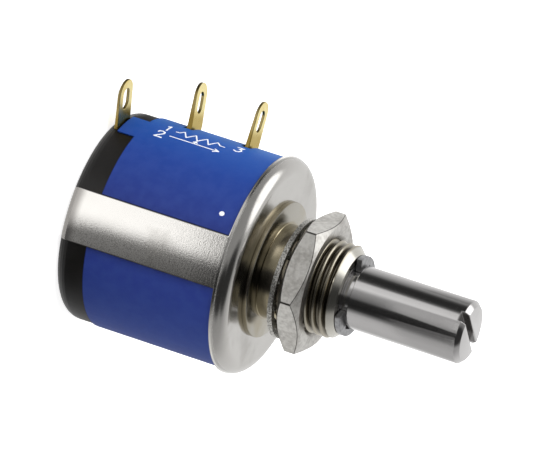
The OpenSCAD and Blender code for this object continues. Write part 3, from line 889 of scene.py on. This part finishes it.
def drawIn(bm, depth):
    # moves the faces that look along the shaft inwards, where they stand outside the case
    bm.normal_update()
    shifts = {}
    for vert in bm.verts:
        broad = [face.normal for face in vert.link_faces if abs(face.normal.z) > edging["broad"]]
        if broad and math.hypot(vert.co.x, vert.co.y) > edging["outside"] * mm:
            shifts[vert] = sum(broad, Vector()).normalized()
    for vert, way in shifts.items():
        vert.co -= way * depth * mm


def softened(node, width, thinner):
    # a merged copy of a CAD node with its sharp edges rounded
    bm = bmesh.new()
    bm.from_mesh(nodes[node].data)
    bmesh.ops.remove_doubles(bm, verts=bm.verts, dist=edging["weld"] * mm)
    flat = math.radians(edging["flatUnder"])
    bmesh.ops.dissolve_limit(bm, angle_limit=flat, verts=bm.verts, edges=bm.edges)
    if thinner:
        drawIn(bm, thinner)
    breakEdges(bm, edging["sharpOver"], width, slide=True)
    return closeMesh(node + "Soft", bm, edging["smoothUnder"])


for node, (body, slot, width, thinner) in edged.items():
    addPiece(node + "Finished", softened(node, width, thinner), finishOf[node], body, [node])
print("edges done")


# Wound element

element = {"turns": 5, "start": 180, "over": 4, "points": 360, "sides": 12, "smoothUnder": 50}


def elementGroup():
    inputs = ("Turns", "Pitch", "Coil Radius", "Wire Radius", "Top", "Start Angle")
    group = newGroup("woundElement", inputs, "Element")
    g = Build(group)
    turns = g.node("NodeGroupInput", out="Turns")
    pitch, radius, wire = turns.at("Pitch"), turns.at("Coil Radius"), turns.at("Wire Radius")
    top, start = turns.at("Top"), turns.at("Start Angle")
    points = element["points"]
    line = g.node("GeometryNodeMeshLine", {"mode": "OFFSET"},
                  {"Count": points + 1, "Offset": (0.0, 0.0, 0.0)})
    turn = g.node("GeometryNodeInputIndex") / points * turns
    angle = start + turn * (2 * math.pi)
    height = top - pitch * turn
    spot = g.vector(radius * g.maths("COSINE", angle), radius * g.maths("SINE", angle), height)
    path = g.node("GeometryNodeSetPosition", None, {"Geometry": line, "Position": spot})
    curve = g.node("GeometryNodeMeshToCurve", None, {0: path})
    length = g.node("GeometryNodeSplineParameter", out="Length")
    named = g.node("GeometryNodeStoreNamedAttribute", {"data_type": "FLOAT", "domain": "POINT"},
                   {"Geometry": curve, "Name": "alongMandrel", "Value": length})
    circle = g.node("GeometryNodeCurvePrimitiveCircle", None,
                    {"Resolution": element["sides"], "Radius": wire})
    sockets = {"Curve": named, "Profile Curve": circle, "Fill Caps": True}
    endGroup(g, g.node("GeometryNodeCurveToMesh", None, sockets), wireFinish)
    return group


def makeElement():
    over = element["over"] / 360
    turns = element["turns"] + 2 * over
    wire = (coilSize["outer"] - coilSize["inner"]) / 2
    pitch = (coilSize["high"] - coilSize["low"] - 2 * wire) / turns
    coil = runGroup(elementGroup(), {
        "Turns": turns, "Pitch": pitch * mm, "Coil Radius": (coilSize["outer"] - wire) * mm,
        "Wire Radius": wire * mm, "Top": (coilSize["high"] - wire) * mm,
        "Start Angle": math.radians(element["start"] - element["over"])})
    bm = bmesh.new()
    bm.from_mesh(coil)
    mesh = closeMesh("woundElement", bm, element["smoothUnder"])
    addPiece("woundElement", mesh, wireFinish, "case", ["resistance_element"])


makeElement()
print("element done")


# Marks on the label

marks = {"thick": 0.008, "line": 0.17, "thin": 0.14, "step": 0.3, "dot": (0.27, 0.243),
         "dotPlace": (-3.70, 245.9), "endSteps": 6, "dotSteps": 12}
markRadius = labelSize["outer"] + marks["thick"]
strokes = {
    "one": [[(-0.16, 0.40), (0.06, 0.62), (0.06, -0.62)]],
    "two": [[(-0.34, 0.36), (-0.26, 0.55), (0.0, 0.64), (0.28, 0.52), (0.33, 0.26), (0.16, -0.02),
             (-0.36, -0.60), (0.40, -0.60)]],
    "three": [[(-0.34, 0.60), (0.32, 0.60), (-0.02, 0.14), (0.24, 0.05), (0.35, -0.22), (0.20, -0.52),
               (-0.08, -0.62), (-0.36, -0.46)]],
    "zigzag": [[(-2.6, -0.10), (-2.25, -0.05), (-1.95, 0.52), (-1.30, -0.66), (-0.72, 0.52), (-0.10, -0.66),
                (0.50, 0.52), (1.10, -0.66), (1.65, 0.52), (2.10, -0.08), (2.6, -0.10)]],
    "arrow": [[(-2.7, 0.0), (2.5, 0.0)], [(2.05, 0.30), (2.55, 0.0), (2.05, -0.30)],
              [(-0.1, 0.0), (-0.1, 0.46)], [(-0.30, 0.26), (-0.1, 0.5), (0.1, 0.26)]],
}
# stroke, place along the shaft in millimetres, turn in degrees, and weight
markPlaces = [("one", -13.72, 198.5, "line"), ("two", -13.86, 207.3, "line"),
              ("three", -6.22, 197.0, "line"), ("zigzag", -10.14, 199.4, "thin"),
              ("arrow", -10.14, 206.6, "thin")]


def labelPoint(place, a, b, radius):
    return spotAt(radius, math.radians(place[1]) - b / markRadius, place[0] + a)


def inkPlate(bm, place, outline):
    high, low = ([bm.verts.new(labelPoint(place, a, b, markRadius + rise)) for a, b in outline]
                 for rise in (marks["thick"], -marks["thick"]))
    bm.faces.new(high)
    bm.faces.new(list(reversed(low)))
    for i in range(len(high)):
        k = (i + 1) % len(high)
        bm.faces.new((low[i], low[k], high[k], high[i]))


def inkStroke(bm, place, points, width):
    # a flat band with round ends, wrapped on the label
    fine = []
    for (ax, ay), (bx, by) in zip(points, points[1:]):
        steps = max(1, int(math.hypot(bx - ax, by - ay) / marks["step"]))
        fine += [(ax + (bx - ax) * k / steps, ay + (by - ay) * k / steps) for k in range(steps)]
    fine.append(points[-1])
    for (ax, ay), (bx, by) in zip(fine, fine[1:]):
        away = math.atan2(by - ay, bx - ax)
        outline = []
        for cx, cy, first in ((bx, by, away - math.pi / 2), (ax, ay, away + math.pi / 2)):
            angles = [first + math.pi * k / marks["endSteps"] for k in range(marks["endSteps"] + 1)]
            outline += [(cx + width / 2 * math.cos(a), cy + width / 2 * math.sin(a)) for a in angles]
        inkPlate(bm, place, outline)


def makeMarks():
    bm = bmesh.new()
    for name, along, turn, weight in markPlaces:
        for points in strokes[name]:
            inkStroke(bm, (along, turn), points, marks[weight])
    tall, wide = marks["dot"]
    angles = [k * math.pi / marks["dotSteps"] for k in range(2 * marks["dotSteps"])]
    inkPlate(bm, marks["dotPlace"], [(tall * math.cos(a), wide * math.sin(a)) for a in angles])
    bmesh.ops.recalc_face_normals(bm, faces=bm.faces)
    addPiece("terminalMarks", meshFrom("terminalMarks", bm), inkFinish, "case")


makeMarks()
print("marks done")


# Stage: floor, reflections, lamps and camera

stage = {"size": 900.0, "below": 0.01, "columns": 96, "floorColour": (0.82, 0.82, 0.82), "cameraWhite": 0.80}
brightest = 2.0  # a ramp ends at 1, so its lights are divided by this, and the strength brings it back
rearFace = round(cadBox[0][2] / mm, 4)

# rings over the floor that only reflections see: radii and height over the rear face in millimetres,
# and the brightness towards each side, by its turn about the shaft in degrees
cardRings = {
    "nearCards": {
        "inner": 12.0, "outer": 57.0, "over": 0.02,
        "sides": [(-180, 0.10), (-168, 0.08), (-160, 0.12), (-151, 0.45), (-144, 0.65), (-135, 0.85),
                  (-120, 0.95), (-112, 1.7), (-92, 1.8), (-86, 1.3), (-80, 0.30), (-72, 0.28),
                  (-62, 0.18), (-54, 0.09), (-44, 0.10), (-34, 0.30), (-23, 0.58), (-5, 0.70),
                  (10, 0.66), (30, 0.60), (45, 0.50), (57, 0.85), (73, 1.5), (100, 1.5), (115, 0.9),
                  (130, 0.68), (145, 0.5), (161, 0.28), (180, 0.10)],
    },
    "middleCards": {
        "inner": 57.0, "outer": 77.0, "over": 0.02,
        "sides": [(-180, 0.25), (-167, 0.45), (-155, 0.9), (-143, 1.25), (-132, 0.8), (-119, 0.2),
                  (-109, 0.06), (-95, 0.14), (-84, 0.06), (-71, 0.0), (-50, 0.01), (-38, 0.25),
                  (-23, 0.62), (1, 1.2), (12, 1.4), (25, 1.2), (50, 1.0), (65, 1.15), (100, 1.10),
                  (118, 1.6), (131, 1.9), (145, 1.1), (158, 0.45), (169, 0.22), (180, 0.25)],
    },
    "farCards": {
        "inner": 77.0, "outer": 150.0, "over": 0.02,
        "sides": [(-180, 0.035), (-171, 0.03), (-160, 0.04), (-152, 0.16), (-145, 0.85), (-125, 1.0),
                  (-113, 0.45), (-98, 0.30), (-88, 0.19), (-79, 0.03), (-58, 0.02), (-48, 0.04),
                  (-38, 0.30), (-30, 0.60), (-16, 0.70), (5, 0.70), (35, 0.62), (50, 0.9), (65, 1.15),
                  (100, 1.10), (120, 0.90), (135, 0.72), (150, 0.55), (162, 0.30), (172, 0.08),
                  (180, 0.035)],
    },
    "horizonCards": {
        "inner": 150.0, "outer": 700.0, "over": 0.03,
        "sides": [(-180, 0.10), (-160, 0.12), (-145, 0.45), (-125, 0.55), (-100, 0.55), (-85, 0.42),
                  (-70, 0.28), (-55, 0.14), (-42, 0.2), (-25, 0.5), (0, 0.6), (35, 0.6), (60, 0.8),
                  (100, 0.9), (130, 0.7), (160, 0.2), (180, 0.10)],
    },
}

# the sky that metal sees: brighter towards one side, with a soft box and two dark gaps;
# the middle of each is a turn and a lift in degrees
surround = {"bright": 85.0, "stops": [(0.0, 0.34), (0.35, 0.38), (0.6, 0.46), (0.85, 0.80), (1.0, 0.92)],
            "box": (158.0, 50.0), "boxLight": 1.5, "boxEdge": (0.87, 0.95),
            "gaps": [(305.0, 25.0), (305.0, 62.0)], "gapDepth": 0.9, "gapEdge": (0.83, 0.95)}


def addStage(name, bm):
    piece = bpy.data.objects.new(name, meshFrom(name, bm))
    bpy.context.scene.collection.objects.link(piece)
    return piece


def stageMaterial(name):
    material = bpy.data.materials.new(name)
    return material, Build(emptyTree(material))


def makeFloor():
    bm = bmesh.new()
    half, height = stage["size"] * mm, (rearFace - stage["below"]) * mm
    corners = ((-1, -1), (1, -1), (1, 1), (-1, 1))
    bm.faces.new([bm.verts.new((x * half, y * half, height)) for x, y in corners])
    floor = addStage("floor", bm)
    material, b = stageMaterial("paleFloor")
    pale = b.node("ShaderNodeBsdfDiffuse", None, {"Color": stage["floorColour"]})
    white = b.node("ShaderNodeEmission", None, {"Color": (1.0, 1.0, 1.0), "Strength": stage["cameraWhite"]})
    both = b.node("ShaderNodeAddShader", None, {0: pale, 1: white})
    ray = b.node("ShaderNodeLightPath", out="Is Camera Ray")
    seen = b.limit(ray + ray.at("Is Glossy Ray") + ray.at("Is Transmission Ray"), 0.0, 1.0)
    b.close("ShaderNodeOutputMaterial", b.node("ShaderNodeMixShader", None, {0: seen, 1: pale, 2: both}))
    floor.data.materials.append(material)


def makeCards(name, cards):
    bm = bmesh.new()
    height = rearFace + cards["over"]
    revolve(bm, [(cards["inner"], height), (cards["outer"], height)], stage["columns"])
    ring = addStage(name, bm)
    material, b = stageMaterial(name)
    place = b.node("ShaderNodeSeparateXYZ", None, {0: b.node("ShaderNodeTexCoord", out="Object")})
    turn = b.maths("ARCTAN2", place.at("Y"), place) / (2 * math.pi) + 0.5
    card = b.ramp(stopsByTurn([(a, light / brightest) for a, light in cards["sides"]]), turn)
    glow = b.node("ShaderNodeEmission", None, {"Color": card, "Strength": brightest})
    b.close("ShaderNodeOutputMaterial", glow)
    ring.data.materials.append(material)
    ring.visible_camera = ring.visible_diffuse = ring.visible_shadow = ring.visible_transmission = False


def towardsPlace(turn, lift):
    # the way towards a turn and a lift in degrees
    turn, lift = math.radians(turn), math.radians(lift)
    return Vector((math.cos(turn) * math.cos(lift), math.sin(turn) * math.cos(lift), math.sin(lift)))


def makeWorld():
    world = bpy.data.worlds.new("studio")
    bpy.context.scene.world = world
    b = Build(emptyTree(world))
    way = b.node("ShaderNodeSeparateXYZ", None, {0: b.node("ShaderNodeTexCoord", out="Generated")})

    def facing(turn, lift):
        # how squarely a ray looks that way
        x, y, z = towardsPlace(turn, lift)
        return way * x + way.at("Y") * y + way.at("Z") * z

    stops = [(place, light / brightest) for place, light in surround["stops"]]
    sky = b.ramp(stops, facing(surround["bright"], 0.0) * 0.5 + 0.5)
    box = b.ease(facing(*surround["box"]), *surround["boxEdge"])
    gaps = [b.ease(facing(*middle), *surround["gapEdge"]) for middle in surround["gaps"]]
    gap = b.maths("MAXIMUM", *gaps)
    shade = sky * (1 - gap * surround["gapDepth"]) + box * (surround["boxLight"] / brightest)
    white = b.node("ShaderNodeBackground", None, {"Color": (1.0, 1.0, 1.0), "Strength": 1.0})
    soft = b.node("ShaderNodeBackground", None, {"Color": shade, "Strength": brightest})
    ray = b.node("ShaderNodeLightPath", out="Is Camera Ray")
    b.close("ShaderNodeOutputWorld", b.node("ShaderNodeMixShader", None, {0: ray, 1: soft, 2: white}))


# degrees, millimetres and watts; metal doesn't see the lamps, only the cards and the sky
lamps = {
    "keyLamp": {"turn": 222, "lift": 32, "away": 420, "size": 260, "watts": 1.0},
    "fillLamp": {"turn": 330, "lift": 30, "away": 520, "size": 300, "watts": 0.35},
    "frontLamp": {"turn": 100, "lift": 62, "away": 480, "size": 260, "watts": 0.45},
}


def makeLamp(name, lamp):
    light = bpy.data.lights.new(name, "AREA")
    light.shape = "DISK"
    light.size = lamp["size"] * mm
    light.energy = lamp["watts"]
    piece = bpy.data.objects.new(name, light)
    back = towardsPlace(lamp["turn"], lamp["lift"])
    facing = back.to_track_quat("Z", "Y").to_matrix().to_4x4()
    piece.matrix_world = Matrix.Translation(back * lamp["away"] * mm) @ facing
    piece.visible_glossy = False
    bpy.context.scene.collection.objects.link(piece)


# place and lens in millimetres, near and far in metres, the picture's right and depth as directions
photo = {"place": (-42.06, -470.15, 159.14), "right": (-0.2828, 0.3315, 0.9001),
         "ahead": (0.0764, 0.9432, -0.3234), "lens": 341.26, "sensor": 36, "near": 0.01, "far": 20}


def makeCamera():
    data = bpy.data.cameras.new("camera")
    data.sensor_width = photo["sensor"]
    data.lens = photo["lens"]
    data.clip_start = photo["near"]
    data.clip_end = photo["far"]
    camera = bpy.data.objects.new("camera", data)
    ahead = Vector(photo["ahead"]).normalized()
    right = Vector(photo["right"])
    right = (right - ahead * right.dot(ahead)).normalized()
    up = right.cross(ahead)
    turned = Matrix((right, up, -ahead)).transposed().to_4x4()
    camera.matrix_world = Matrix.Translation(Vector(photo["place"]) * mm) @ turned
    bpy.context.scene.collection.objects.link(camera)
    bpy.context.scene.camera = camera


makeFloor()
for name, cards in cardRings.items():
    makeCards(name, cards)
makeWorld()
for name, lamp in lamps.items():
    makeLamp(name, lamp)
makeCamera()
bpy.context.scene.view_settings.view_transform = "Standard"
print("stage done")
